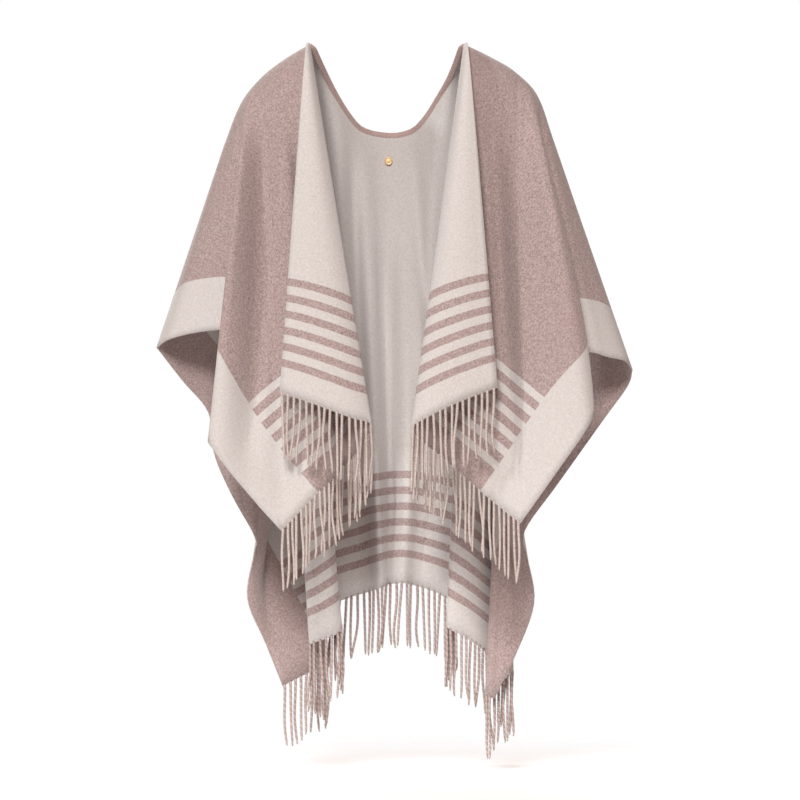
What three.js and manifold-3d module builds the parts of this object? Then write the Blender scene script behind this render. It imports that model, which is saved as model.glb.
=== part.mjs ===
// Fringed ruana worn open: one rectangle of double-faced wool, slit up the front, its front edges
// folded out as lapels. Millimetres; X across, Y towards the back, +Z up; the origin lies midway
// between the two neck points on top of the shoulders.
import * as THREE from "three";
import Module from "manifold-3d";

const wasm = await Module();
wasm.setup();

const clothThick = 2.0; // double-faced wool
const partGap = 0.3; // between pieces that touch
const neckHalf = 108; // middle to neck point
const chestDepth = -134; // furthest the cloth stands in front of the shoulder line
const backDepth = 140; // and behind it
const foldGrow = 0.5; // share of a ray over which its fold grows
const neckTurn = 20; // from here along the neckline the cloth turns from level
const neckFlat = 80; // to hanging straight, over this length
const columnsPerFold = 2; // columns of cells between two fold rays
const rowsDown = 10; // rows of cells from the shoulder to the edge
const rowEase = 2.2; // packs the rows towards the shoulder
const bindingWide = 6.5; // beyond the cloth's neck edge
const bindingTip = 3; // the same, at the neck points
const bindingGap = 1.1; // the neck edge curves, so its strip stands a little further off
const bindingThick = 1.6;
const stripTall = 4; // woven heading that holds the strands
const fringeLong = 92; // heading to strand tip
const fringePitch = 10; // strand to strand along the edge
const strandThick = 2.4;
const strandWave = 1.2; // sideways sway of a strand
const strandParts = 2; // straight parts in a strand
const studWide = 11;
const studThick = 2.6;
const studGap = 1.9; // the cloth behind it is hollow
const studDrop = 33; // stud centre below the back neckline

// Line over each shoulder: along = distance from the neck point.
const shoulder = {
  left: [
    { along: 0, x: -neckHalf, y: 0, z: 0 },
    { along: 41, x: -143, y: 0, z: -21 },
    { along: 82, x: -175, y: 0, z: -46 },
    { along: 127, x: -203, y: 0, z: -81 },
    { along: 190, x: -227, y: 0, z: -140 },
  ],
  right: [
    { along: 0, x: neckHalf, y: 0, z: 0 },
    { along: 41, x: 143, y: 0, z: -17 },
    { along: 82, x: 177, y: 0, z: -37 },
    { along: 127, x: 209, y: 0, z: -70 },
    { along: 190, x: 231, y: 0, z: -131 },
  ],
};

// Back neckline, from the neck point to the middle of the back.
const backNeck = {
  left: [
    { along: 0, x: -neckHalf, y: 0, z: 0 },
    { along: 57, x: -86, y: 44, z: -47 },
    { along: 90, x: -70.5, y: 66, z: -76 },
    { along: 117, x: -56, y: 84, z: -98 },
    { along: 139, x: -41, y: 98, z: -115 },
    { along: 160, x: -21, y: 110, z: -123 },
    { along: 180, x: 2, y: 116, z: -126 },
  ],
  right: [
    { along: 0, x: neckHalf, y: 0, z: 0 },
    { along: 54, x: 91, y: 44, z: -44 },
    { along: 102, x: 69, y: 80, z: -82 },
    { along: 123, x: 57, y: 94, z: -100 },
    { along: 144, x: 41, y: 104, z: -117 },
    { along: 164, x: 20, y: 113, z: -125 },
    { along: 180, x: 2, y: 116, z: -126 },
  ],
};

// Short front neckline that the lapel hangs from.
const frontNeck = {
  left: [
    { along: 0, x: -neckHalf, y: 0, z: 0 },
    { along: 9, x: -110, y: -13, z: 2 },
    { along: 18, x: -113, y: -23, z: 0 },
  ],
  right: [
    { along: 0, x: neckHalf, y: 0, z: 0 },
    { along: 9, x: 110, y: -13, z: 2 },
    { along: 18, x: 113, y: -23, z: 0 },
  ],
};

// Fold rays of the front. from = start along the shoulder (below 0: along the neckline),
// x, y, z = end on the cloth's edge, bow = most it bends sideways, turn = a cloth corner.
const front = {
  left: [
    { fold: "silhouette", from: 190, x: -322, y: 0, z: -424, bow: 0 },
    { fold: "sleeveTurn", from: 178, x: -303, y: -38, z: -412, bow: 0 },
    { fold: "sleeveFront", from: 165, x: -258, y: -60, z: -402, bow: 0 },
    { fold: "sleeveDeep", from: 152, x: -214, y: -72, z: -400, bow: 0 },
    { fold: "innerBack", from: 141, x: -150, y: -78, z: -408, bow: 0 },
    { fold: "innerFront", from: 133, x: -152, y: -92, z: -424, bow: 0 },
    { fold: "middleLayer", from: 124, x: -190, y: -100, z: -480, bow: 0 },
    { fold: "outerFold", from: 113, x: -244, y: -128, z: -542, bow: 0 },
    { fold: "foldFace", from: 106, x: -235, y: -141, z: -573, bow: 0 },
    { fold: "bandFace", from: 98, x: -187, y: -128, z: -633, bow: 0 },
    { fold: "corner", from: 88, x: -146, y: -119, z: -679, bow: 0, turn: 1 },
    { fold: "hemOuter", from: 76, x: -102, y: -122, z: -633, bow: 0 },
    { fold: "hemInner", from: 62, x: -73, y: -118, z: -606, bow: 0 },
    { fold: "valleyOuter", from: 48, x: -62, y: -92, z: -590, bow: 0 },
    { fold: "valleyInner", from: 35, x: -50, y: -90, z: -582, bow: 0 },
    { fold: "underLapel", from: 22, x: -36, y: -126, z: -562, bow: 0 },
    { fold: "lapelFold", from: 0, x: -21, y: -143, z: -532, bow: 0 },
    { fold: "lapelFace", from: -6, x: -52, y: -158, z: -521, bow: 0 },
    { fold: "lapelMiddle", from: -12, x: -100, y: -160, z: -503, bow: 0 },
    { fold: "lapelEdge", from: -18, x: -148, y: -152, z: -487, bow: 0 },
  ],
  right: [
    { fold: "silhouette", from: 190, x: 343, y: 0, z: -455, bow: 0 },
    { fold: "sleeveTurn", from: 178, x: 333, y: -38, z: -443, bow: 0 },
    { fold: "sleeveFront", from: 165, x: 307, y: -60, z: -437, bow: 0 },
    { fold: "sleeveDeep", from: 152, x: 279, y: -72, z: -430, bow: 0 },
    { fold: "innerBack", from: 141, x: 200, y: -78, z: -426, bow: 0 },
    { fold: "innerFront", from: 133, x: 202, y: -92, z: -432, bow: 0 },
    { fold: "middleLayer", from: 124, x: 242, y: -100, z: -480, bow: 6 },
    { fold: "outerFold", from: 113, x: 284, y: -128, z: -511, bow: 10 },
    { fold: "foldFace", from: 106, x: 277, y: -148, z: -536, bow: 8 },
    { fold: "bandFace", from: 98, x: 233, y: -143, z: -600, bow: 4 },
    { fold: "corner", from: 88, x: 185, y: -130, z: -668, bow: 2, turn: 1 },
    { fold: "hemOuter", from: 76, x: 140, y: -113, z: -632, bow: 0 },
    { fold: "hemInner", from: 62, x: 108, y: -107, z: -605, bow: 0 },
    { fold: "valleyOuter", from: 48, x: 87, y: -92, z: -585, bow: 0 },
    { fold: "valleyInner", from: 35, x: 74, y: -90, z: -574, bow: 0 },
    { fold: "underLapel", from: 22, x: 52, y: -126, z: -557, bow: 0 },
    { fold: "lapelFold", from: 0, x: 34, y: -143, z: -537, bow: 0 },
    { fold: "lapelFace", from: -6, x: 60, y: -158, z: -519, bow: 0 },
    { fold: "lapelMiddle", from: -12, x: 105, y: -160, z: -498, bow: 0 },
    { fold: "lapelEdge", from: -18, x: 153, y: -152, z: -480, bow: 0 },
  ],
};

// Fold rays of the back, outermost first.
const back = {
  left: [
    { fold: "silhouette", from: 190, x: -322, y: 0, z: -424, bow: 0 },
    { fold: "elbowBack", from: 178, x: -287, y: 34, z: -470, bow: 0 },
    { fold: "sideHigh", from: 165, x: -251, y: 60, z: -515, bow: 0 },
    { fold: "sideMiddle", from: 152, x: -244, y: 75, z: -571, bow: 0 },
    { fold: "sideLow", from: 141, x: -218, y: 58, z: -631, bow: 0 },
    { fold: "sideCurl", from: 133, x: -186, y: 54, z: -690, bow: 0 },
    { fold: "curlBack", from: 124, x: -187, y: 72, z: -712, bow: -24 },
    { fold: "sideOut", from: 113, x: -197, y: 98, z: -777, bow: -42 },
    { fold: "sideEnd", from: 106, x: -172, y: 130, z: -841, bow: 0 },
    { fold: "corner", from: 98, x: -148, y: 140, z: -902, bow: 0, turn: 1 },
    { fold: "hemOuter", from: 88, x: -109, y: 150, z: -882, bow: 0 },
    { fold: "hemTurn", from: 76, x: -84, y: 152, z: -868, bow: 0 },
    { fold: "pleatLeft", from: 62, x: -109, y: 86, z: -844, bow: 0 },
    { fold: "pleatFace", from: 48, x: -88, y: 76, z: -834, bow: 0 },
    { fold: "pleatRight", from: 35, x: -64, y: 84, z: -820, bow: 0 },
    { fold: "pleatBack", from: 22, x: -80, y: 132, z: -790, bow: 0 },
    { fold: "middleSide", from: 0, x: -56, y: 146, z: -778, bow: 0 },
    { fold: "neckSide", from: -50, x: -30, y: 144, z: -770, bow: 0 },
    { fold: "neckDeep", from: -120, x: -12, y: 131, z: -764, bow: 0 },
    { fold: "middle", from: -180, x: 2, y: 142, z: -758, bow: 0 },
  ],
  right: [
    { fold: "silhouette", from: 190, x: 343, y: 0, z: -455, bow: 0 },
    { fold: "elbowBack", from: 178, x: 337, y: 26, z: -478, bow: 0 },
    { fold: "sideHigh", from: 165, x: 304, y: 50, z: -525, bow: 0 },
    { fold: "sideMiddle", from: 152, x: 242, y: 70, z: -613, bow: 0 },
    { fold: "sideLow", from: 141, x: 194, y: 54, z: -680, bow: 0 },
    { fold: "sideCurl", from: 133, x: 197, y: 62, z: -718, bow: -22 },
    { fold: "sideOut", from: 124, x: 207, y: 82, z: -784, bow: -46 },
    { fold: "sideEnd", from: 113, x: 180, y: 100, z: -860, bow: -6 },
    { fold: "corner", from: 106, x: 152, y: 104, z: -918, bow: 0, turn: 1 },
    { fold: "hemOuter", from: 98, x: 144, y: 102, z: -916, bow: 0 },
    { fold: "bandFold", from: 88, x: 141, y: 113, z: -905, bow: 0 },
    { fold: "turnFront", from: 76, x: 172, y: 144, z: -888, bow: 0 },
    { fold: "turnBack", from: 62, x: 176, y: 160, z: -878, bow: 0 },
    { fold: "pleatRight", from: 48, x: 144, y: 128, z: -856, bow: 0 },
    { fold: "pleatFace", from: 35, x: 112, y: 98, z: -832, bow: 0 },
    { fold: "pleatLeft", from: 22, x: 84, y: 92, z: -816, bow: 0 },
    { fold: "pleatBack", from: 0, x: 96, y: 136, z: -790, bow: 0 },
    { fold: "middleSide", from: -20, x: 70, y: 140, z: -770, bow: 0 },
    { fold: "neckSide", from: -60, x: 40, y: 146, z: -760, bow: 0 },
    { fold: "neckDeep", from: -120, x: 22, y: 131, z: -756, bow: 0 },
    { fold: "middle", from: -180, x: 2, y: 142, z: -758, bow: 0 },
  ],
};

const looks = {
  cloth: { color: 0xa8918c, roughness: 0.95, metalness: 0 },
  binding: { color: 0x8d746f, roughness: 0.95, metalness: 0 },
  fringe: { color: 0xcdbdb2, roughness: 0.95, metalness: 0 },
  stud: { color: 0xc9a15a, roughness: 0.35, metalness: 1 },
};

// Smooth curve between two values with given slopes.
function hermite(a, b, slopeA, slopeB, t) {
  const t2 = t * t;
  const t3 = t2 * t;
  return (2 * t3 - 3 * t2 + 1) * a + (t3 - 2 * t2 + t) * slopeA
    + (3 * t2 - 2 * t3) * b + (t3 - t2) * slopeB;
}

function pointAlong(line, along) {
  const last = line.length - 1;
  let k = 0;
  while (k < last - 1 && along >= line[k + 1].along) k += 1;
  const length = line[k + 1].along - line[k].along;
  const slope = (i, axis) => {
    const low = line[Math.max(i - 1, 0)];
    const high = line[Math.min(i + 1, last)];
    return (high[axis] - low[axis]) / (high.along - low.along) * length;
  };
  const t = (along - line[k].along) / length;
  return new THREE.Vector3(...["x", "y", "z"].map((axis) => hermite(
    line[k][axis], line[k + 1][axis], slope(k, axis), slope(k + 1, axis), t)));
}

const bodyDepth = (face) => (face === front ? chestDepth : backDepth);

function startPoint(face, side, from) {
  if (from >= 0) return pointAlong(shoulder[side], from);
  return pointAlong(face === front ? frontNeck[side] : backNeck[side], -from);
}

// Fold ray at a position between two rows of a table.
function rayAt(table, position) {
  const last = table.length - 1;
  const k = Math.min(Math.floor(position), last - 1);
  const t = position - k;
  const slope = (i, axis, ahead) => {
    const oneSided = table[i].turn || i === 0 || i === last;
    if (!oneSided) return (table[i + 1][axis] - table[i - 1][axis]) / 2;
    return ahead ? table[i + 1][axis] - table[i][axis] : table[i][axis] - table[i - 1][axis];
  };
  const ray = { from: table[k].from + (table[k + 1].from - table[k].from) * t };
  for (const axis of ["x", "y", "z", "bow"]) {
    ray[axis] = hermite(table[k][axis], table[k + 1][axis],
      slope(k, axis, true), slope(k + 1, axis, false), t);
  }
  return ray;
}

// A bow is at its most two thirds of the way down a ray.
const bowShape = (down) => 6.75 * down ** 2 * (1 - down);

// Point on the drape: straight down the ray in x and z, over the body's roundness in y, the folds
// growing out of a smooth body below the shoulder.
function drape(face, side, position, down) {
  const ray = rayAt(face[side], position);
  const start = startPoint(face, side, ray.from);
  const curve = THREE.MathUtils.clamp(0.5 - (ray.from + neckTurn) / neckFlat / 2, 0.5, 1);
  const round = 1 - (1 - down ** curve) ** 2;
  const grown = THREE.MathUtils.smoothstep(down, 0, foldGrow);
  const across = ray.from / shoulder[side][shoulder[side].length - 1].along;
  const body = ray.from > 0 ? bodyDepth(face) * Math.sqrt(1 - across * across) : ray.y;
  const depth = body + (ray.y - body) * grown;
  return new THREE.Vector3(
    start.x + (ray.x - start.x) * down + Math.sign(ray.x) * ray.bow * bowShape(down),
    start.y + (depth - start.y) * round,
    start.z + (ray.z - start.z) * down,
  );
}

const rowStops = Array.from({ length: rowsDown + 1 }, (_, j) => (j / rowsDown) ** rowEase);

// All four fans share their vertices along the shoulders, the elbows and the middle of the back.
const points = [];
const pointIndex = new Map();
const faces = [];

function pointNumber(p) {
  const key = p.toArray().map((v) => Math.round(v * 100)).join();
  if (!pointIndex.has(key)) {
    pointIndex.set(key, points.length);
    points.push(p);
  }
  return pointIndex.get(key);
}

function addFan(face, side) {
  const columns = (face[side].length - 1) * columnsPerFold;
  const grid = [];
  for (let i = 0; i <= columns; i += 1) {
    grid.push(rowStops.map((down) => pointNumber(drape(face, side, i / columnsPerFold, down))));
  }
  const outward = (face === front) === (side === "left");
  for (let i = 0; i < columns; i += 1) {
    for (let j = 0; j < rowsDown; j += 1) {
      const [a, b, c, d] = [grid[i][j], grid[i + 1][j], grid[i + 1][j + 1], grid[i][j + 1]];
      const pair = outward ? [[a, d, c], [a, c, b]] : [[a, b, c], [a, c, d]];
      faces.push(...pair);
    }
  }
  return grid;
}

const grids = {
  frontLeft: addFan(front, "left"),
  frontRight: addFan(front, "right"),
  backLeft: addFan(back, "left"),
  backRight: addFan(back, "right"),
};

const normals = points.map(() => new THREE.Vector3());
for (const [a, b, c] of faces) {
  const across = new THREE.Vector3().subVectors(points[b], points[a]);
  const normal = across.cross(new THREE.Vector3().subVectors(points[c], points[a])).normalize();
  for (const v of [a, b, c]) normals[v].add(normal);
}
normals.forEach((n) => n.normalize());

const movedOut = (v, distance) => points[v].clone().addScaledVector(normals[v], distance);

function solidFrom(vertices, triangles) {
  const mesh = new wasm.Mesh({
    numProp: 3,
    vertProperties: new Float32Array(vertices.flatMap((p) => p.toArray())),
    triVerts: new Uint32Array(triangles.flat()),
  });
  return new wasm.Manifold(mesh);
}

// Sheet of cloth: both faces moved out by half the thickness and a rim round every open edge.
function clothSolid() {
  const half = clothThick / 2;
  const count = points.length;
  const vertices = [...points.map((_, v) => movedOut(v, half)),
    ...points.map((_, v) => movedOut(v, -half))];
  const triangles = [...faces, ...faces.map(([a, b, c]) => [a + count, c + count, b + count])];
  const edges = new Set(faces.flatMap(([a, b, c]) => [`${a},${b}`, `${b},${c}`, `${c},${a}`]));
  for (const edge of edges) {
    const [a, b] = edge.split(",").map(Number);
    if (edges.has(`${b},${a}`)) continue;
    triangles.push([b, a, a + count], [b, a + count, b + count]);
  }
  return solidFrom(vertices, triangles);
}

// Ring of equal cross-sections joined into a closed body.
function loft(sections) {
  const ring = sections[0].length;
  const vertices = sections.flat();
  const triangles = [];
  for (let k = 0; k + 1 < sections.length; k += 1) {
    for (let i = 0; i < ring; i += 1) {
      const a = k * ring + i;
      const b = k * ring + (i + 1) % ring;
      triangles.push([a, b, b + ring], [a, b + ring, a + ring]);
    }
  }
  const end = (sections.length - 1) * ring;
  for (let i = 1; i + 1 < ring; i += 1) {
    triangles.push([0, i + 1, i], [end, end + i, end + i + 1]);
  }
  const solid = solidFrom(vertices, triangles);
  if (solid.volume() > 0) return solid;
  return solidFrom(vertices, triangles.map(([a, b, c]) => [a, c, b]));
}

// Binding: a flat strip that stands up from the cloth's neck edge and faces the front, in two
// halves joined at the middle of the back.
function bindingSolid() {
  const half = bindingThick / 2;
  const sides = [[grids.backLeft, back.left, -1], [grids.backRight, back.right, 1]];
  return wasm.Manifold.union(sides.map(([grid, table, way]) => {
    const first = table.findIndex((ray) => ray.from <= 0) * columnsPerFold;
    const edge = grid.slice(first).map((column) => column[0]).reverse();
    const tip = points[edge[edge.length - 1]];
    return loft(edge.map((v, k) => {
      const along = new THREE.Vector3().subVectors(points[edge[Math.min(k + 1, edge.length - 1)]],
        points[edge[Math.max(k - 1, 0)]]);
      if (k === 0) along.set(way, 0, 0);
      const beyond = new THREE.Vector3(-along.z, 0, along.x).setLength(way);
      const outward = new THREE.Vector3().crossVectors(beyond, along).setLength(way);
      const wide = Math.min(bindingWide, bindingTip + points[v].distanceTo(tip) / 2);
      const corner = (reach, distance) => points[v].clone().addScaledVector(outward, distance)
        .addScaledVector(beyond, reach);
      return [corner(bindingGap, half), corner(bindingGap, -half), corner(wide, -half),
        corner(wide, half)];
    }));
  }));
}

function studMesh() {
  const ray = back.left[back.left.length - 1];
  const down = studDrop / (pointAlong(backNeck.left, -ray.from).z - ray.z);
  const place = drape(back, "left", back.left.length - 1, down);
  const above = drape(back, "left", back.left.length - 1, down * 0.8);
  const below = drape(back, "left", back.left.length - 1, down * 1.2);
  const slope = new THREE.Vector3().subVectors(below, above).normalize();
  const inward = slope.cross(new THREE.Vector3(1, 0, 0)).normalize();
  const geometry = new THREE.CylinderGeometry(studWide / 2, studWide / 2 + 0.3, studThick, 24);
  const stud = new THREE.Mesh(geometry, new THREE.MeshStandardMaterial(looks.stud));
  stud.name = "neck_stud";
  stud.quaternion.setFromUnitVectors(new THREE.Vector3(0, 1, 0), inward);
  stud.position.copy(place).addScaledVector(inward, clothThick / 2 + studGap + studThick / 2);
  return stud;
}

const hemSpans = {
  fringe_left: [[grids.frontLeft, front.left]],
  fringe_right: [[grids.frontRight, front.right]],
  fringe_back: [[grids.backLeft, back.left], [grids.backRight, back.right]],
};

// Cloth edge that carries a fringe, as edge and next-row vertex numbers.
function hemColumns(spans) {
  const lists = spans.map(([grid, table]) => grid
    .slice(table.findIndex((ray) => ray.turn) * columnsPerFold)
    .map((column) => ({ edge: column[rowsDown], above: column[rowsDown - 1] })));
  if (lists.length === 1) return lists[0];
  return [...lists[0], ...lists[1].reverse().slice(1)];
}

function fringeSolid(spans, seed) {
  const half = clothThick / 2;
  const hem = hemColumns(spans);
  const columns = hem.map(({ edge, above }, k) => {
    const along = new THREE.Vector3().subVectors(points[hem[Math.min(k + 1, hem.length - 1)].edge],
      points[hem[Math.max(k - 1, 0)].edge]);
    const down = along.cross(normals[edge]).normalize();
    if (down.dot(points[edge].clone().sub(points[above])) < 0) down.negate();
    return { top: points[edge].clone().addScaledVector(down, partGap), down, out: normals[edge] };
  });
  const strip = loft(columns.map(({ top, down, out }) => [
    top.clone().addScaledVector(out, half),
    top.clone().addScaledVector(out, -half),
    top.clone().addScaledVector(out, -half).addScaledVector(down, stripTall),
    top.clone().addScaledVector(out, half).addScaledVector(down, stripTall),
  ]));
  const strands = [];
  let run = 0;
  let next = fringePitch / 2;
  for (let k = 0; k + 1 < columns.length; k += 1) {
    const [a, b] = [columns[k], columns[k + 1]];
    const length = a.top.distanceTo(b.top);
    while (next < run + length) {
      const t = (next - run) / length;
      const root = a.top.clone().lerp(b.top, t);
      const down = a.down.clone().lerp(b.down, t).normalize();
      root.addScaledVector(down, stripTall / 2);
      strands.push(strandSolid(root, strands.length + seed));
      next += fringePitch;
    }
    run += length;
  }
  return wasm.Manifold.union([strip, ...strands]);
}

function strandSolid(root, number) {
  const sections = [];
  for (let k = 0; k <= strandParts; k += 1) {
    const t = k / strandParts;
    const sway = strandWave * Math.sin(number * 2.4 + t * 4) * t;
    const thin = strandThick / 2 * (1 - 0.15 * t);
    sections.push([0, 1, 2].map((corner) => {
      const angle = (corner / 3) * 2 * Math.PI + number;
      return new THREE.Vector3(root.x + sway + thin * Math.cos(angle),
        root.y + thin * Math.sin(angle), root.z - fringeLong * t);
    }));
  }
  return loft(sections);
}

function addPart(group, name, solid, look) {
  const mesh = solid.getMesh();
  const geometry = new THREE.BufferGeometry();
  geometry.setAttribute("position", new THREE.BufferAttribute(mesh.vertProperties.slice(), 3));
  geometry.setIndex(new THREE.BufferAttribute(mesh.triVerts.slice(), 1));
  geometry.computeVertexNormals();
  const part = new THREE.Mesh(geometry, new THREE.MeshStandardMaterial(look));
  part.name = name;
  group.add(part);
}

const group = new THREE.Group();
group.name = "ruana";
addPart(group, "cloth", clothSolid(), looks.cloth);
addPart(group, "neck_binding", bindingSolid(), looks.binding);
group.add(studMesh());
Object.entries(hemSpans).forEach(([name, spans], k) => {
  addPart(group, name, fringeSolid(spans, k * 5), looks.fringe);
});

export default group;
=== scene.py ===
import math
import random

import bpy
import numpy as np
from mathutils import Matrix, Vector


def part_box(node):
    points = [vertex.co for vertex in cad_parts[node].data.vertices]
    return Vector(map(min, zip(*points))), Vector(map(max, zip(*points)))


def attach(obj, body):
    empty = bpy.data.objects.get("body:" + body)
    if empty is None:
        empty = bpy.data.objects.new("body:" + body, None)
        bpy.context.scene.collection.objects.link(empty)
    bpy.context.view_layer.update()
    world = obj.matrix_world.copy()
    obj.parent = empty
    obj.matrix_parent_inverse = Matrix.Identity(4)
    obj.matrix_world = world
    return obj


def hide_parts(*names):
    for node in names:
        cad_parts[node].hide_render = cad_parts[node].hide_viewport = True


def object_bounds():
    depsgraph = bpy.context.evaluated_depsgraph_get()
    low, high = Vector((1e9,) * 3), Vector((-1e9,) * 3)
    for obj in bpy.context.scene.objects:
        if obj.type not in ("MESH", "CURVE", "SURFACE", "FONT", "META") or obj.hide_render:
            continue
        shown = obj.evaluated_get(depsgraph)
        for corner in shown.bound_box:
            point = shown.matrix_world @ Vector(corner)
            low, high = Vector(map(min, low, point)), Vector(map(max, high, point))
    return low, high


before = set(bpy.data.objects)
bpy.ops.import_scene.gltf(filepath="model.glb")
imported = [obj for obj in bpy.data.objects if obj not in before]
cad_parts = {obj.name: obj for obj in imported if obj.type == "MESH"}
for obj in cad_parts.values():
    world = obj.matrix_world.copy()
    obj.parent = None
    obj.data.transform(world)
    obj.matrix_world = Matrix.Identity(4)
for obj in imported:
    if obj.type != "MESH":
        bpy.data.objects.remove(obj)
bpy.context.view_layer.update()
print("frame loaded")

mm = 0.001

# ---- the drape: millimetres, x across, y towards the back, z up from the neck points
shoulder = {  # along, x, y, z
    "left": [
        (0, -108, 0, 0),
        (41, -143, 0, -21),
        (82, -175, 0, -46),
        (127, -203, 0, -81),
        (190, -227, 0, -140),
    ],
    "right": [
        (0, 108, 0, 0),
        (41, 143, 0, -17),
        (82, 177, 0, -37),
        (127, 209, 0, -70),
        (190, 231, 0, -131),
    ],
}

backNeck = {  # along, x, y, z
    "left": [
        (0, -108, 0, 0),
        (57, -86, 44, -47),
        (90, -70.5, 66, -76),
        (117, -56, 84, -98),
        (139, -41, 98, -115),
        (160, -21, 110, -123),
        (180, 2, 116, -126),
    ],
    "right": [
        (0, 108, 0, 0),
        (54, 91, 44, -44),
        (102, 69, 80, -82),
        (123, 57, 94, -100),
        (144, 41, 104, -117),
        (164, 20, 113, -125),
        (180, 2, 116, -126),
    ],
}

frontNeck = {  # along, x, y, z
    "left": [
        (0, -108, 0, 0),
        (9, -110, -13, 2),
        (18, -113, -23, 0),
    ],
    "right": [
        (0, 108, 0, 0),
        (9, 110, -13, 2),
        (18, 113, -23, 0),
    ],
}

frontFolds = {  # fold, start along the shoulder, end x, y, z, bow, cloth corner
    "left": [
        ("silhouette", 190, -322, 0, -424, 0, 0),
        ("sleeveTurn", 178, -303, -38, -412, 0, 0),
        ("sleeveFront", 165, -258, -60, -402, 0, 0),
        ("sleeveDeep", 152, -214, -72, -400, 0, 0),
        ("innerBack", 141, -150, -78, -408, 0, 0),
        ("innerFront", 133, -152, -92, -424, 0, 0),
        ("middleLayer", 124, -190, -100, -480, 0, 0),
        ("outerFold", 113, -244, -128, -542, 0, 0),
        ("foldFace", 106, -235, -141, -573, 0, 0),
        ("bandFace", 98, -187, -128, -633, 0, 0),
        ("corner", 88, -146, -119, -679, 0, 1),
        ("hemOuter", 76, -102, -122, -633, 0, 0),
        ("hemInner", 62, -73, -118, -606, 0, 0),
        ("valleyOuter", 48, -62, -92, -590, 0, 0),
        ("valleyInner", 35, -50, -90, -582, 0, 0),
        ("underLapel", 22, -36, -126, -562, 0, 0),
        ("lapelFold", 0, -21, -143, -532, 0, 0),
        ("lapelFace", -6, -52, -158, -521, 0, 0),
        ("lapelMiddle", -12, -100, -160, -503, 0, 0),
        ("lapelEdge", -18, -148, -152, -487, 0, 0),
    ],
    "right": [
        ("silhouette", 190, 343, 0, -455, 0, 0),
        ("sleeveTurn", 178, 333, -38, -443, 0, 0),
        ("sleeveFront", 165, 307, -60, -437, 0, 0),
        ("sleeveDeep", 152, 279, -72, -430, 0, 0),
        ("innerBack", 141, 200, -78, -426, 0, 0),
        ("innerFront", 133, 202, -92, -432, 0, 0),
        ("middleLayer", 124, 242, -100, -480, 6, 0),
        ("outerFold", 113, 284, -128, -511, 10, 0),
        ("foldFace", 106, 277, -148, -536, 8, 0),
        ("bandFace", 98, 233, -143, -600, 4, 0),
        ("corner", 88, 185, -130, -668, 2, 1),
        ("hemOuter", 76, 140, -113, -632, 0, 0),
        ("hemInner", 62, 108, -107, -605, 0, 0),
        ("valleyOuter", 48, 87, -92, -585, 0, 0),
        ("valleyInner", 35, 74, -90, -574, 0, 0),
        ("underLapel", 22, 52, -126, -557, 0, 0),
        ("lapelFold", 0, 34, -143, -537, 0, 0),
        ("lapelFace", -6, 60, -158, -519, 0, 0),
        ("lapelMiddle", -12, 105, -160, -498, 0, 0),
        ("lapelEdge", -18, 153, -152, -480, 0, 0),
    ],
}

backFolds = {  # fold, start along the shoulder, end x, y, z, bow, cloth corner
    "left": [
        ("silhouette", 190, -322, 0, -424, 0, 0),
        ("elbowBack", 178, -287, 34, -470, 0, 0),
        ("sideHigh", 165, -251, 60, -515, 0, 0),
        ("sideMiddle", 152, -244, 75, -571, 0, 0),
        ("sideLow", 141, -218, 58, -631, 0, 0),
        ("sideCurl", 133, -186, 54, -690, 0, 0),
        ("curlBack", 124, -187, 72, -712, -24, 0),
        ("sideOut", 113, -197, 98, -777, -42, 0),
        ("sideEnd", 106, -172, 130, -841, 0, 0),
        ("corner", 98, -148, 140, -902, 0, 1),
        ("hemOuter", 88, -109, 150, -882, 0, 0),
        ("hemTurn", 76, -84, 152, -868, 0, 0),
        ("pleatLeft", 62, -109, 86, -844, 0, 0),
        ("pleatFace", 48, -88, 76, -834, 0, 0),
        ("pleatRight", 35, -64, 84, -820, 0, 0),
        ("pleatBack", 22, -80, 132, -790, 0, 0),
        ("middleSide", 0, -56, 146, -778, 0, 0),
        ("neckSide", -50, -30, 144, -770, 0, 0),
        ("neckDeep", -120, -12, 131, -764, 0, 0),
        ("middle", -180, 2, 142, -758, 0, 0),
    ],
    "right": [
        ("silhouette", 190, 343, 0, -455, 0, 0),
        ("elbowBack", 178, 337, 26, -478, 0, 0),
        ("sideHigh", 165, 304, 50, -525, 0, 0),
        ("sideMiddle", 152, 242, 70, -613, 0, 0),
        ("sideLow", 141, 194, 54, -680, 0, 0),
        ("sideCurl", 133, 197, 62, -718, -22, 0),
        ("sideOut", 124, 207, 82, -784, -46, 0),
        ("sideEnd", 113, 180, 100, -860, -6, 0),
        ("corner", 106, 152, 104, -918, 0, 1),
        ("hemOuter", 98, 144, 102, -916, 0, 0),
        ("bandFold", 88, 141, 113, -905, 0, 0),
        ("turnFront", 76, 172, 144, -888, 0, 0),
        ("turnBack", 62, 176, 160, -878, 0, 0),
        ("pleatRight", 48, 144, 128, -856, 0, 0),
        ("pleatFace", 35, 112, 98, -832, 0, 0),
        ("pleatLeft", 22, 84, 92, -816, 0, 0),
        ("pleatBack", 0, 96, 136, -790, 0, 0),
        ("middleSide", -20, 70, 140, -770, 0, 0),
        ("neckSide", -60, 40, 146, -760, 0, 0),
        ("neckDeep", -120, 22, 131, -756, 0, 0),
        ("middle", -180, 2, 142, -758, 0, 0),
    ],
}

drape = {
    "chestDepth": -134,  # furthest the cloth stands in front of the shoulder line
    "backDepth": 140,
    "foldGrow": 0.5,  # share of a fold ray over which its fold grows
    "bowScale": 6.75,  # brings a bow to its full size two thirds down
    "neckTurn": 20,  # from here along the neckline the cloth turns from level
    "neckFlat": 80,  # to hanging straight, over this length
    "rowEase": 2.2,  # packs the rows towards the shoulder
    "neckHalf": 108,
    "shoulderEnd": 190,
}
fans = [("front", "left"), ("front", "right"), ("back", "left"), ("back", "right")]

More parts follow.
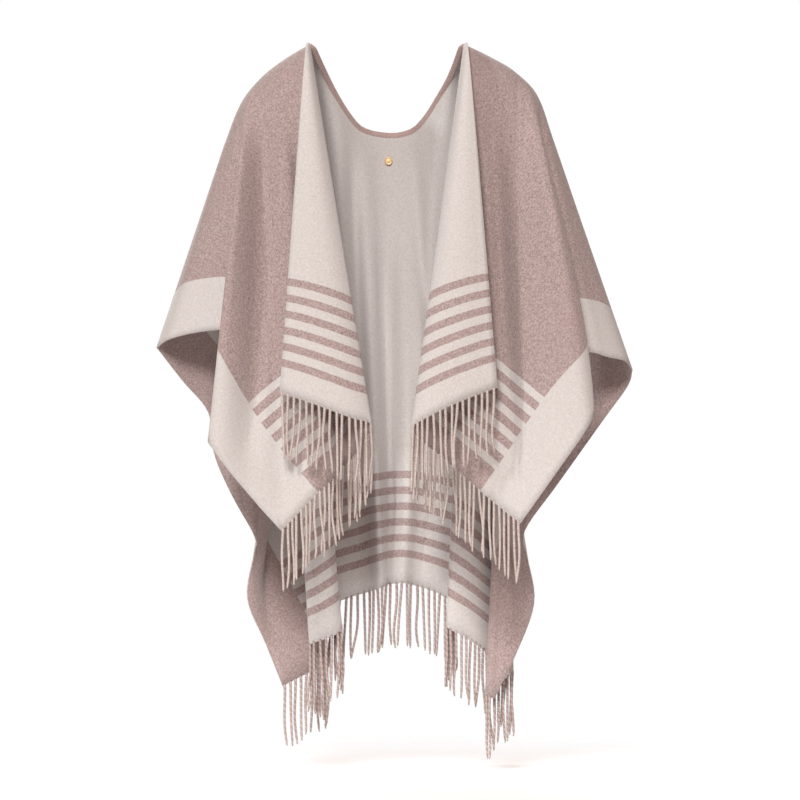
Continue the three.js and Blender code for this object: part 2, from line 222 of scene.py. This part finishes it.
creases = {  # softer than the folds: x and z of its head and foot, half width, push to the back
    "front": [
        (-166, -90, -192, -540, 18, 13),
        (-202, -90, -238, -430, 11, -5),
        (146, -90, 172, -520, 13, 15),
        (212, -110, 262, -470, 16, -5),
    ],
    "back": [
        (-52, -150, -26, -700, 11, 18),
        (-32, -150, -8, -720, 9, -10),
        (34, -120, 58, -400, 9, 12),
        (-5, -290, 6, -640, 9, 14),
        (20, -250, 30, -640, 10, -8),
    ],
}

creaseStops = {  # creases grow from none at the first value to whole at the second
    "neckline": (0, -40),  # along the shoulder
    "sleeve": (130, 110),
    "lapel": (15, 35),
    "head": (-0.09, 0.21),  # share of the crease's length
    "foot": (1.25, 0.9),
}


def foldTable(face, side):
    return (frontFolds if face == "front" else backFolds)[side]


def hermite(a, b, slopeA, slopeB, t):
    return (
        (2 * t**3 - 3 * t**2 + 1) * a
        + (t**3 - 2 * t**2 + t) * slopeA
        + (3 * t**2 - 2 * t**3) * b
        + (t**3 - t**2) * slopeB
    )


def pointAlong(line, along):
    rows = np.array(line, float)
    last = len(rows) - 1
    k = 0
    while k < last - 1 and along >= rows[k + 1, 0]:
        k += 1
    length = rows[k + 1, 0] - rows[k, 0]

    def slope(i):
        low, high = rows[max(i - 1, 0)], rows[min(i + 1, last)]
        return (high[1:] - low[1:]) / (high[0] - low[0]) * length

    t = (along - rows[k, 0]) / length
    return hermite(rows[k, 1:], rows[k + 1, 1:], slope(k), slope(k + 1), t)


def startPoint(face, side, start):
    if start >= 0:
        return pointAlong(shoulder[side], start)
    return pointAlong((frontNeck if face == "front" else backNeck)[side], -start)


def foldRay(table, position):  # start, x, y, z, bow between two rows of the table
    rows = np.array([row[1:6] for row in table], float)
    last = len(rows) - 1
    k = min(int(position), last - 1)
    t = position - k

    def slope(i, ahead):
        if table[i][6] or i in (0, last):
            return rows[i + 1] - rows[i] if ahead else rows[i] - rows[i - 1]
        return (rows[i + 1] - rows[i - 1]) / 2

    ray = hermite(rows[k], rows[k + 1], slope(k, True), slope(k + 1, False), t)
    ray[0] = rows[k, 0] + (rows[k + 1, 0] - rows[k, 0]) * t
    return ray


def drapeColumn(face, side, position, down):  # points down one fold ray
    start, x, y, z, bow = foldRay(foldTable(face, side), position)
    top = startPoint(face, side, start)
    curve = min(max(0.5 - (start + drape["neckTurn"]) / drape["neckFlat"] / 2, 0.5), 1)
    over = 1 - (1 - down**curve) ** 2
    grown = np.clip(down / drape["foldGrow"], 0, 1)
    grown = grown * grown * (3 - 2 * grown)
    body = y
    if start > 0:
        across = start / drape["shoulderEnd"]
        body = drape["chestDepth" if face == "front" else "backDepth"] * math.sqrt(1 - across**2)
    depth = body + (y - body) * grown
    bowed = math.copysign(1, x) * bow * drape["bowScale"] * down * down * (1 - down)
    return np.stack(
        [
            top[0] + (x - top[0]) * down + bowed,
            top[1] + (depth - top[1]) * over,
            top[2] + (z - top[2]) * down,
        ],
        axis=1,
    )


def makeSheet(columnsPerFold, rowsDown):
    down = (np.arange(rowsDown + 1) / rowsDown) ** drape["rowEase"]
    points, index, faces, grids = [], {}, [], {}
    for face, side in fans:
        columns = (len(foldTable(face, side)) - 1) * columnsPerFold
        grid = np.zeros((columns + 1, rowsDown + 1), int)
        for i in range(columns + 1):
            for j, p in enumerate(drapeColumn(face, side, i / columnsPerFold, down)):
                key = tuple(np.round(p, 2))
                if key not in index:
                    index[key] = len(points)
                    points.append(p)
                grid[i, j] = index[key]
        a, b = grid[:-1, :-1].ravel(), grid[1:, :-1].ravel()
        c, d = grid[1:, 1:].ravel(), grid[:-1, 1:].ravel()
        outward = (face == "front") == (side == "left")
        faces.append(np.stack([a, d, c, b] if outward else [a, b, c, d], axis=1))
        grids[face, side] = grid
    return {"points": np.array(points), "faces": np.concatenate(faces), "grids": grids}


def fade(value, low, high):  # 0 at low, 1 at high, either way round
    return np.clip((value - low) / (high - low), 0, 1)


def creaseShare(face, start):  # how much of the creases a column of the cloth takes
    if face == "back":
        return fade(start, *creaseStops["neckline"])
    return fade(start, *creaseStops["sleeve"]) * fade(start, *creaseStops["lapel"])


def creased(sheet, columnsPerFold):  # points pushed to the front or back along the creases
    smooth = sheet["points"]
    points = smooth.copy()
    for face, side in fans:
        for i, column in enumerate(sheet["grids"][face, side]):
            share = creaseShare(face, foldRay(foldTable(face, side), i / columnsPerFold)[0])
            if share == 0:
                continue
            x, y, z = smooth[column].T
            push = np.zeros(len(column))
            for headX, headZ, footX, footZ, wide, deep in creases[face]:
                t = (z - headZ) / (footZ - headZ)
                off = (x - headX - (footX - headX) * t) / wide
                ends = fade(t, *creaseStops["head"]) * fade(t, *creaseStops["foot"])
                push += deep * np.exp(-off * off) * ends * ends * (3 - 2 * ends)
            points[column, 1] = y + push * share
    return points


def lengthsAlong(points):
    steps = np.linalg.norm(np.diff(points, axis=0), axis=1)
    return np.concatenate([[0], np.cumsum(steps)])


# ---- the pattern follows two lengths measured over the cloth: to the selvedge and to the fringe
cut = {"halfWide": 590.0, "frontLong": 495.0, "backLong": 745.0, "scoop": 105.0}


def cornerOf(face, side):
    return next(i for i, row in enumerate(foldTable(face, side)) if row[6])


def edgeRows(sheet, columnsPerFold):
    selvedge, fringed = [], []
    for fan in fans:
        foot, corner = sheet["grids"][fan][:, -1], cornerOf(*fan) * columnsPerFold
        selvedge.extend(foot[: corner + 1])
        fringed.extend(foot[corner:])
    return selvedge, fringed


def lengthsFrom(sheet, row):  # shortest way over the cloth from a row of its points
    points, quads = sheet["points"], sheet["faces"]
    corners = np.concatenate([quads[:, t] for t in ((0, 1, 2), (0, 2, 3), (0, 1, 3), (1, 2, 3))])
    corners = np.concatenate([np.roll(corners, k, axis=1) for k in range(3)])
    a, b, c = (points[corners[:, k]] for k in range(3))
    shortest = np.minimum(np.linalg.norm(b - a, axis=1), np.linalg.norm(c - a, axis=1))
    good = np.minimum(shortest, np.linalg.norm(c - b, axis=1)) > 1e-6
    corners, a, b, c = corners[good], a[good], b[good], c[good]
    base = np.linalg.norm(b - a, axis=1)
    along = ((c - a) * (b - a)).sum(axis=1) / base
    away = np.sqrt(np.maximum(((c - a) ** 2).sum(axis=1) - along**2, 0))
    sideA, sideB = np.hypot(along, away), np.hypot(base - along, away)
    far = np.full(len(points), 1e6)
    far[row] = 0
    for _ in range(600):
        near = far.copy()
        fromA, fromB = far[corners[:, 0]], far[corners[:, 1]]
        step = np.minimum(fromA + sideA, fromB + sideB)
        tilt = (fromB - fromA) / base
        rise = np.sqrt(np.maximum(1 - tilt**2, 0))
        entry = along - away * tilt / np.maximum(rise, 1e-6)
        through = (np.abs(tilt) < 1) & (entry >= 0) & (entry <= base)
        front = fromA + tilt * along + rise * away
        np.minimum.at(near, corners[:, 2], np.where(through, np.minimum(step, front), step))
        if np.array_equal(near, far):
            break
        far = near
    return far


def weavePlaces(sheet, columnsPerFold, down):  # rough place of each point on the loom
    places = np.zeros((len(sheet["points"]), 2))
    for face, side in fans:
        grid, table = sheet["grids"][face, side], foldTable(face, side)
        corner = cornerOf(face, side) * columnsPerFold
        foot = lengthsAlong(sheet["points"][grid[:, -1]])
        foot, turn = foot / foot[-1], foot[corner] / foot[-1]
        end = cut["frontLong"] if face == "front" else -cut["backLong"]
        for i in range(len(grid)):
            start = foldRay(table, i / columnsPerFold)[0]
            if start >= 0:
                head = (drape["neckHalf"] + start, 0)
            elif face == "front":
                head = (drape["neckHalf"], -start)
            else:
                share = -start / drape["shoulderEnd"] * math.pi / 2
                head = (drape["neckHalf"] * math.cos(share), -cut["scoop"] * math.sin(share))
            if foot[i] <= turn:
                hem = (cut["halfWide"], end * foot[i] / turn)
            else:
                hem = (cut["halfWide"] * (1 - foot[i]) / (1 - turn), end)
            head, hem = np.array(head), np.array(hem)
            places[grid[i]] = head + (hem - head) * down[:, None]
            places[grid[i], 0] *= -1 if side == "left" else 1
    return places


def finer(count, times):  # weights that take coarse rows to finer ones
    weights = np.zeros(((count - 1) * times + 1, count))
    for row in range(len(weights)):
        k = min(row // times, count - 2)
        t = row / times - k
        weights[row, k], weights[row, k + 1] = 1 - t, t
    return weights


# ---- meshes
def addMesh(name, points, faces, smooth=True):
    mesh = bpy.data.meshes.new(name)
    mesh.from_pydata([tuple(p) for p in np.asarray(points) * mm], [], [tuple(f) for f in faces])
    mesh.polygons.foreach_set("use_smooth", [smooth] * len(mesh.polygons))
    mesh.update()
    piece = bpy.data.objects.new(name, mesh)
    bpy.context.scene.collection.objects.link(piece)
    return piece


def addAttribute(piece, name, values):
    values = np.asarray(values, float)
    kind, field = ("FLOAT", "value") if values.ndim == 1 else ("FLOAT_VECTOR", "vector")
    attribute = piece.data.attributes.new(name, kind, "POINT")
    attribute.data.foreach_set(field, values.ravel())


def addTube(name, tubes, values=None):
    points, faces = [], []
    for rings in tubes:
        ring = len(rings[0])
        base = len(points)
        for r in rings:
            points.extend(r)
        for k in range(len(rings) - 1):
            for n in range(ring):
                a, b = base + k * ring + n, base + k * ring + (n + 1) % ring
                faces.append((a, b, b + ring, a + ring))
        end = base + (len(rings) - 1) * ring
        faces.append(tuple(range(base + ring - 1, base - 1, -1)))
        faces.append(tuple(range(end, end + ring)))
    piece = addMesh(name, points, faces)
    if values is not None:
        addAttribute(piece, "ply", values)
    return piece


def pointNormals(points, quads):
    across = points[quads[:, 2]] - points[quads[:, 0]]
    along = points[quads[:, 3]] - points[quads[:, 1]]
    normals = np.cross(across, along)
    normals /= np.maximum(np.linalg.norm(normals, axis=1), 1e-9)[:, None]
    total = np.zeros_like(points)
    for corner in range(4):
        for axis in range(3):
            total[:, axis] += np.bincount(quads[:, corner], normals[:, axis], len(points))
    return total / np.maximum(np.linalg.norm(total, axis=1), 1e-9)[:, None]


# ---- shader sums
class Flow:  # one shader socket that takes part in sums
    def __init__(self, tree, socket):
        self.tree, self.socket = tree, socket

    def node(self, kind, settings=None, inputs=None, output=0):
        made = self.tree.nodes.new("ShaderNode" + kind)
        for key, value in (settings or {}).items():
            setattr(made, key, value)
        for key, value in (inputs or {}).items():
            plug(self.tree, made.inputs[key], value)
        return Flow(self.tree, made.outputs[output])

    def math(self, operation, *others):
        inputs = dict(enumerate((self, *others)))
        return self.node("Math", {"operation": operation}, inputs)

    def __add__(self, other):
        return self.math("ADD", other)

    def __radd__(self, other):
        return self.math("ADD", other)

    def __mul__(self, other):
        return self.math("MULTIPLY", other)

    def __rmul__(self, other):
        return self.math("MULTIPLY", other)

    def __sub__(self, other):
        return self.math("SUBTRACT", other)

    def __rsub__(self, other):
        return self.math("MULTIPLY", -1).math("ADD", other)

    def ramp(self, low, high):  # 0 below low, 1 above high, soft between
        settings = {"interpolation_type": "SMOOTHSTEP"}
        return self.node("MapRange", settings, {"Value": self, "From Min": low, "From Max": high})

    def part(self, axis):
        return self.node("SeparateXYZ", None, {0: self}, axis)

    def stretched(self, factors):
        settings = {"operation": "MULTIPLY"}
        return self.node("VectorMath", settings, {0: self, 1: factors})

    def grain(self, scale, detail=2.0, rough=0.5):
        inputs = {"Vector": self, "Scale": scale, "Detail": detail, "Roughness": rough}
        return self.node("TexNoise", None, inputs)

    def mixed(self, first, second):  # first where this is 0, second where it is 1
        made = self.tree.nodes.new("ShaderNodeMix")
        made.data_type = "RGBA"
        sockets = {s.identifier: s for s in made.inputs}
        for name, value in (("Factor_Float", self), ("A_Color", first), ("B_Color", second)):
            plug(self.tree, sockets[name], value)
        return Flow(self.tree, next(s for s in made.outputs if s.identifier == "Result_Color"))


def plug(tree, socket, value):
    if isinstance(value, Flow):
        tree.links.new(value.socket, socket)
    elif hasattr(value, "__len__") and len(value) == 3 and socket.type == "RGBA":
        socket.default_value = (*value, 1)
    else:
        socket.default_value = value


def newMaterial(name, constants):
    material = bpy.data.materials.new(name)
    material.use_nodes = True
    tree = material.node_tree
    shader = tree.nodes["Principled BSDF"]
    for key, value in constants.items():
        plug(tree, shader.inputs[key], value)
    return material, tree, shader, Flow(tree, None)


def bodyPlace(flow):  # millimetres in the piece's own frame
    return flow.node("TexCoord", None, None, "Object").stretched((1 / mm, 1 / mm, 1 / mm))


def raised(flow, height, strength, deep):
    inputs = {"Strength": strength, "Distance": deep, "Height": height}
    return flow.node("Bump", None, inputs, "Normal")


def readAttribute(flow, name, output="Vector"):
    return flow.node("Attribute", {"attribute_name": name}, None, output)


# ---- cloth
cloth = {
    "thick": 2.0,
    "columnsPerFold": 6,
    "rowsDown": 72,
    "roughColumns": 3,
    "roughRows": 36,
    "mauve": (0.355, 0.255, 0.245),
    "mauveDark": (0.155, 0.105, 0.10),
    "mauveLight": (0.54, 0.43, 0.415),
    "cream": (0.55, 0.515, 0.50),
    "creamDark": (0.43, 0.385, 0.365),
    "creamLight": (0.65, 0.62, 0.61),
    "bandWide": 74.0,  # selvedge band
    "stripeWide": 10.6,
    "stripePitch": 22.4,
    "stripes": 6,
    "stripeFirst": 36.5,  # fringe edge to the first stripe
    "edgeSoft": 0.5,  # softness of a colour change
    "ragged": 1.6,  # how far a colour change wanders
    "raggedScale": 0.8,
    "fleckScale": 0.42,
    "hairScale": 0.5,
    "hairLong": (1.0, 0.35, 1.0),
    "cloudScale": 0.03,
    "roughness": 0.95,
    "sheen": 0.25,
    "sheenRoughness": 0.6,
    "napBump": 0.35,
    "napDeep": 0.0006,
}

rough = makeSheet(cloth["roughColumns"], cloth["roughRows"])
lengths = [lengthsFrom(rough, row) for row in edgeRows(rough, cloth["roughColumns"])]
print("pattern measured")

sheet = makeSheet(cloth["columnsPerFold"], cloth["rowsDown"])
down = (np.arange(cloth["rowsDown"] + 1) / cloth["rowsDown"]) ** drape["rowEase"]
edges = np.zeros((len(sheet["points"]), 3))
for fan in fans:
    coarse = rough["grids"][fan]
    across = finer(coarse.shape[0], cloth["columnsPerFold"] // cloth["roughColumns"])
    along = finer(coarse.shape[1], cloth["rowsDown"] // cloth["roughRows"])
    for axis in (0, 1):
        edges[sheet["grids"][fan], axis] = across @ lengths[axis][coarse] @ along.T
weave = np.zeros_like(edges)
weave[:, :2] = weavePlaces(sheet, cloth["columnsPerFold"], down)

middle, quads = creased(sheet, cloth["columnsPerFold"]), sheet["faces"]
normals = pointNormals(middle, quads)
count = len(middle)
half = cloth["thick"] / 2
shell = np.concatenate([middle + normals * half, middle - normals * half])
rim = {}
for quad in quads.tolist():
    for a, b in zip(quad, quad[1:] + quad[:1]):
        if rim.pop((b, a), None) is None:
            rim[a, b] = True
rimQuads = [(b, a, a + count, b + count) for a, b in rim]
faces = [*quads.tolist(), *(quads[:, ::-1] + count).tolist(), *rimQuads]
clothPiece = addMesh("cloth", shell, faces)
addAttribute(clothPiece, "edges", np.concatenate([edges, edges]))
addAttribute(clothPiece, "weave", np.concatenate([weave, weave]))
addAttribute(clothPiece, "inner", np.repeat([0.0, 1.0], count))
print("cloth made,", len(faces), "faces")


def woolCloth():
    constants = {
        "Roughness": cloth["roughness"],
        "Sheen Weight": cloth["sheen"],
        "Sheen Roughness": cloth["sheenRoughness"],
    }
    material, tree, shader, flow = newMaterial("wool cloth", constants)
    place = readAttribute(flow, "weave")
    edge = readAttribute(flow, "edges")
    inner = readAttribute(flow, "inner", "Fac")
    across, along = edge.part(0), edge.part(1)
    soft = cloth["edgeSoft"]
    ragged = (place.grain(cloth["raggedScale"], 3) - 0.5) * cloth["ragged"]
    band = 1 - (across + ragged).ramp(cloth["bandWide"] - soft, cloth["bandWide"] + soft)
    run = along + ragged - cloth["stripeFirst"]
    last = cloth["stripePitch"] * (cloth["stripes"] - 0.5)
    within = run.ramp(-soft, soft) * (1 - run.ramp(last - soft, last + soft))
    beat = run.math("FLOORED_MODULO", cloth["stripePitch"])
    stripe = within * (1 - beat.ramp(cloth["stripeWide"] - soft, cloth["stripeWide"] + soft))
    turned = band.math("MAXIMUM", stripe)
    mauveness = (inner.ramp(0.45, 0.55) - (1 - turned)).math("ABSOLUTE")
    body = bodyPlace(flow)
    fleck = body.grain(cloth["fleckScale"], 4, 0.75)
    hair = place.stretched(cloth["hairLong"]).grain(cloth["hairScale"], 2, 0.6)
    cloud = body.grain(cloth["cloudScale"], 2, 0.5)
    shade = fleck * 0.75 + hair * 0.25
    mauve = shade.ramp(0.33, 0.67).mixed(cloth["mauveDark"], cloth["mauveLight"])
    mauve = (cloud * 0.5 + 0.1).mixed(mauve, cloth["mauve"])
    cream = shade.ramp(0.3, 0.7).mixed(cloth["creamDark"], cloth["creamLight"])
    cream = (cloud * 0.5 + 0.15).mixed(cream, cloth["cream"])
    plug(tree, shader.inputs["Base Color"], mauveness.mixed(cream, mauve))
    nap = fleck * 0.6 + hair * 0.4
    plug(tree, shader.inputs["Normal"], raised(flow, nap, cloth["napBump"], cloth["napDeep"]))
    return material


clothPiece.data.materials.append(woolCloth())
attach(clothPiece, "root")
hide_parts("cloth")

# ---- binding
binding = {
    "wide": 6.5,
    "tip": 3.0,  # the same, at the neck points
    "thick": 3.0,
    "lap": 1.2,
    "squareWide": 0.35,  # under 1 squares the round section
    "squareThick": 0.6,
    "round": 8,
    "colour": (0.43, 0.31, 0.295),
    "contrast": 0.25,
    "fleckScale": 0.9,
    "bump": 0.4,
    "bumpDeep": 0.0005,
}


def neckPoints(side):
    grid = sheet["grids"]["back", side]
    first = next(i for i, row in enumerate(backFolds[side]) if row[1] <= 0)
    return grid[first * cloth["columnsPerFold"] :, 0].tolist()


def neckBinding():
    rings = []
    order = [
        (side, v)
        for side in ("left", "right")
        for v in neckPoints(side)[:: 1 if side == "left" else -1]
    ]
    line = [v for n, (side, v) in enumerate(order) if n == 0 or v != order[n - 1][1]]
    for k, v in enumerate(line):
        before, after = middle[line[max(k - 1, 0)]], middle[line[min(k + 1, len(line) - 1)]]
        along = (after - before) / np.linalg.norm(after - before)
        beyond = np.cross(along, (0, 1, 0))  # it stands up from the edge, facing the front
        beyond /= np.linalg.norm(beyond)
        outward = np.cross(beyond, along)
        fromEnd = min(np.linalg.norm(middle[v] - middle[line[end]]) for end in (0, -1))
        wide = min(binding["wide"], binding["tip"] + fromEnd / 2)
        centre, reach = (wide - binding["lap"]) / 2, (wide + binding["lap"]) / 2
        ring = []
        for n in range(2 * binding["round"]):
            angle = n / binding["round"] * math.pi
            sway, lift = math.cos(angle), math.sin(angle)
            sway = math.copysign(abs(sway) ** binding["squareWide"], sway)
            lift = math.copysign(abs(lift) ** binding["squareThick"], lift)
            ring.append(
                middle[v]
                + beyond * (centre + reach * sway)
                + outward * lift * binding["thick"] / 2
            )
        rings.append(ring)
    return addTube("neck_binding", [rings])


def bindingWool():
    material, tree, shader, flow = newMaterial("binding wool", {"Roughness": cloth["roughness"]})
    fleck = bodyPlace(flow).grain(binding["fleckScale"], 3, 0.7)
    dark = tuple(c * (1 - binding["contrast"]) for c in binding["colour"])
    light = tuple(min(1, c * (1 + binding["contrast"])) for c in binding["colour"])
    plug(tree, shader.inputs["Base Color"], fleck.ramp(0.35, 0.65).mixed(dark, light))
    bump = raised(flow, fleck, binding["bump"], binding["bumpDeep"])
    plug(tree, shader.inputs["Normal"], bump)
    return material


bindingPiece = neckBinding()
bindingPiece.data.materials.append(bindingWool())
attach(bindingPiece, "root")
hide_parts("neck_binding")
print("binding made")

# ---- fringe
fringe = {
    "pitch": 9.0,
    "long": 92.0,
    "radius": 2.2,
    "parts": 44,
    "round": 8,
    "turns": 11.0,
    "lean": 0.05,
    "sway": 2.2,
    "bends": 1.5,  # half waves down a strand
    "taper": (1.12, 0.92),  # share of the radius at the root and the tip
    "tip": 0.55,  # and at the very end
    "tipLong": 12,  # parts of a strand, of which the last narrows to the tip
    "plies": (0.84, 0.14),  # radius of a strand and how far its two plies stand out
    "darker": (0.62, 0.58, 0.56),  # flecks
    "fleckScale": 0.7,
    "cream": (0.62, 0.535, 0.50),
    "mauve": (0.42, 0.31, 0.295),
}


def fringeStrands(name, spans, seed):
    dice = random.Random(seed)
    line = []
    for face, side in spans:
        grid = sheet["grids"][face, side][cornerOf(face, side) * cloth["columnsPerFold"] :, -1]
        line.append(grid.tolist())
    line = line[0] if len(line) == 1 else line[0] + line[1][::-1][1:]
    edge = middle[line]
    run = lengthsAlong(edge)
    tubes, ply = [], []
    at = fringe["pitch"] * 0.4
    while at < run[-1] - 1:
        place = at + dice.uniform(-1, 1)
        root = np.array([np.interp(place, run, edge[:, k]) for k in range(3)])
        leanX, leanY = dice.gauss(0, fringe["lean"]), dice.gauss(0, fringe["lean"])
        swayX, swayY = dice.gauss(0, fringe["sway"]), dice.gauss(0, fringe["sway"])
        phase, length = dice.uniform(0, 6.3), fringe["long"] * dice.uniform(0.93, 1.0)
        rings = []
        for k in range(fringe["parts"] + 1):
            t = k / fringe["parts"]
            bend = math.sin(t * math.pi * fringe["bends"] + phase) * t
            centre = root + np.array(
                [
                    leanX * length * t * 0.5 + swayX * bend,
                    leanY * length * t * 0.5 + swayY * bend,
                    2.0 - (length + 2) * t,
                ]
            )
            twist = phase + t * fringe["turns"] * 2 * math.pi
            end = fringe["tip"] + (1 - fringe["tip"]) * min(1, (1 - t) * fringe["tipLong"])
            thick, tip = fringe["taper"]
            size = fringe["radius"] * end * (thick + (tip - thick) * t)
            for n in range(fringe["round"]):
                angle = n / fringe["round"] * 2 * math.pi
                radius = size * (fringe["plies"][0] + fringe["plies"][1] * math.cos(2 * angle))
                rings.append(
                    centre
                    + radius * np.array([math.cos(angle + twist), math.sin(angle + twist), 0])
                )
                ply.append(math.cos(angle))
        size = fringe["round"]
        tubes.append([rings[i : i + size] for i in range(0, len(rings), size)])
        at += fringe["pitch"]
    piece = addTube(name, tubes, ply)
    print(name, len(tubes), "strands")
    return piece


def yarn(name, colourA, colourB):
    material, tree, shader, flow = newMaterial(name, {"Roughness": cloth["roughness"]})
    ply = readAttribute(flow, "ply", "Fac")
    place = bodyPlace(flow)
    fleck = place.grain(fringe["fleckScale"], 2, 0.6)
    base = ply.ramp(-0.25, 0.25).mixed(colourA, colourB)
    dark = base.stretched(fringe["darker"])
    plug(tree, shader.inputs["Base Color"], fleck.ramp(0.3, 0.6).mixed(dark, base))
    return material


creamYarn = yarn("cream yarn", fringe["cream"], tuple(c * 0.93 for c in fringe["cream"]))
mixedYarn = yarn("mauve and cream yarn", fringe["mauve"], tuple(c * 0.85 for c in fringe["cream"]))
fringeSets = [
    ("fringe_left", [("front", "left")], creamYarn, 3),
    ("fringe_right", [("front", "right")], creamYarn, 5),
    ("fringe_back", [("back", "left"), ("back", "right")], mixedYarn, 7),
]
for name, spans, material, seed in fringeSets:
    piece = fringeStrands(name, spans, seed)
    piece.data.materials.append(material)
    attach(piece, "root")
    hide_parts(name)

# ---- stud
stud = {
    "profile": [  # radius, height
        (5.5, -1.3),
        (5.5, 0.5),
        (5.1, 1.1),
        (4.2, 1.25),
        (3.9, 0.8),
        (3.2, 0.8),
        (0.5, 1.5),
    ],
    "round": 40,
    "colour": (0.88, 0.66, 0.38),
    "roughness": 0.6,
}


def neckStud():
    low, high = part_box("neck_stud")
    centre = (Vector(low) + Vector(high)) / 2
    place = np.array(centre) / mm
    nearest = int(np.argmin(np.linalg.norm(middle - place, axis=1)))
    out = -normals[nearest]
    side = np.cross(out, (0, 0, 1))
    side /= np.linalg.norm(side)
    up = np.cross(side, out)
    rings = [
        [
            place
            + out * lift
            + radius * (side * math.cos(a) + up * math.sin(a))
            for a in np.linspace(0, 2 * math.pi, stud["round"], endpoint=False)
        ]
        for radius, lift in stud["profile"]
    ]
    return addTube("neck_stud", [rings])


studPiece = neckStud()
metal = {"Base Color": stud["colour"], "Metallic": 1.0, "Roughness": stud["roughness"]}
studPiece.data.materials.append(newMaterial("brass", metal)[0])
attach(studPiece, "root")
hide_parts("neck_stud")
print("stud made")

# ---- floor, light and camera
studio = {
    "floor": (0.90, 0.90, 0.90),
    "sky": (1.0, 0.58, 0.42),  # what lights the cape
    "skyLight": 0.19,
    "skySeen": (1.0, 1.0, 1.0),
    "floorGlow": 0.35,
    "key": {"turn": -56, "rise": 28, "power": 1.1, "soft": 6, "colour": (0.94, 1.0, 1.0)},
    "front": {"turn": -6, "rise": 27, "power": 2.95, "soft": 12, "colour": (1.0, 0.98, 0.955)},
    "right": {"turn": 60, "rise": 35, "power": 0.35, "soft": 20, "colour": (1.0, 1.0, 1.0)},
    "behind": {"turn": 190, "rise": 28, "power": 1.6, "soft": 25, "colour": (1.0, 1.0, 1.0)},
    "floorFade": (0.4, 1.5),  # metres from the middle over which the floor fades out
    "floorDrop": 0.02,
    "floorWide": 30,
    "distance": 12.0,
    "pictureTall": 1.12,  # metres seen at the shoulder line
    "lookAt": (0.0182, 0.0, -0.497),
}
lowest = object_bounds()[0][2]
floorPlace = (0, 0, lowest - studio["floorDrop"])
bpy.ops.mesh.primitive_plane_add(size=studio["floorWide"], location=floorPlace)
floor = bpy.context.object
floor.name = "floor"
floorMaterial, tree, shader, flow = newMaterial("floor", {"Roughness": 0.9})
plug(tree, shader.inputs["Base Color"], studio["floor"])
plug(tree, shader.inputs["Emission Color"], studio["floor"])
shader.inputs["Emission Strength"].default_value = studio["floorGlow"]
place = flow.node("TexCoord", None, None, "Object")
reach = flow.node("VectorMath", {"operation": "LENGTH"}, {0: place}, "Value")
plug(tree, shader.inputs["Alpha"], 1 - reach.ramp(*studio["floorFade"]))
floor.data.materials.append(floorMaterial)

world = bpy.data.worlds.new("studio")
bpy.context.scene.world = world
world.use_nodes = True
sky = Flow(world.node_tree, None)
seen = sky.node("LightPath", None, None, "Is Camera Ray")
background = world.node_tree.nodes["Background"]
light = tuple(c * studio["skyLight"] for c in studio["sky"])
plug(world.node_tree, background.inputs["Color"], seen.mixed(light, studio["skySeen"]))
bpy.context.scene.view_settings.view_transform = "Standard"


def addSun(name, turn, rise, power, soft, colour):  # degrees round from the front and up
    light = bpy.data.lights.new(name, "SUN")
    light.color = colour
    light.energy, light.angle = power, math.radians(soft)
    lamp = bpy.data.objects.new(name, light)
    lamp.rotation_euler = (math.radians(90 - rise), 0, math.radians(turn))
    bpy.context.scene.collection.objects.link(lamp)


for name in ("key", "front", "right", "behind"):
    addSun(name, **studio[name])

camera = bpy.data.cameras.new("camera")
camera.sensor_width = 36
camera.lens = 36 * studio["distance"] / studio["pictureTall"]
camera.clip_end = 100
cameraObject = bpy.data.objects.new("camera", camera)
x, y, z = studio["lookAt"]
cameraObject.location = (x, y - studio["distance"], z)
cameraObject.rotation_euler = (math.pi / 2, 0, 0)
bpy.context.scene.collection.objects.link(cameraObject)
bpy.context.scene.camera = cameraObject
print("studio made")
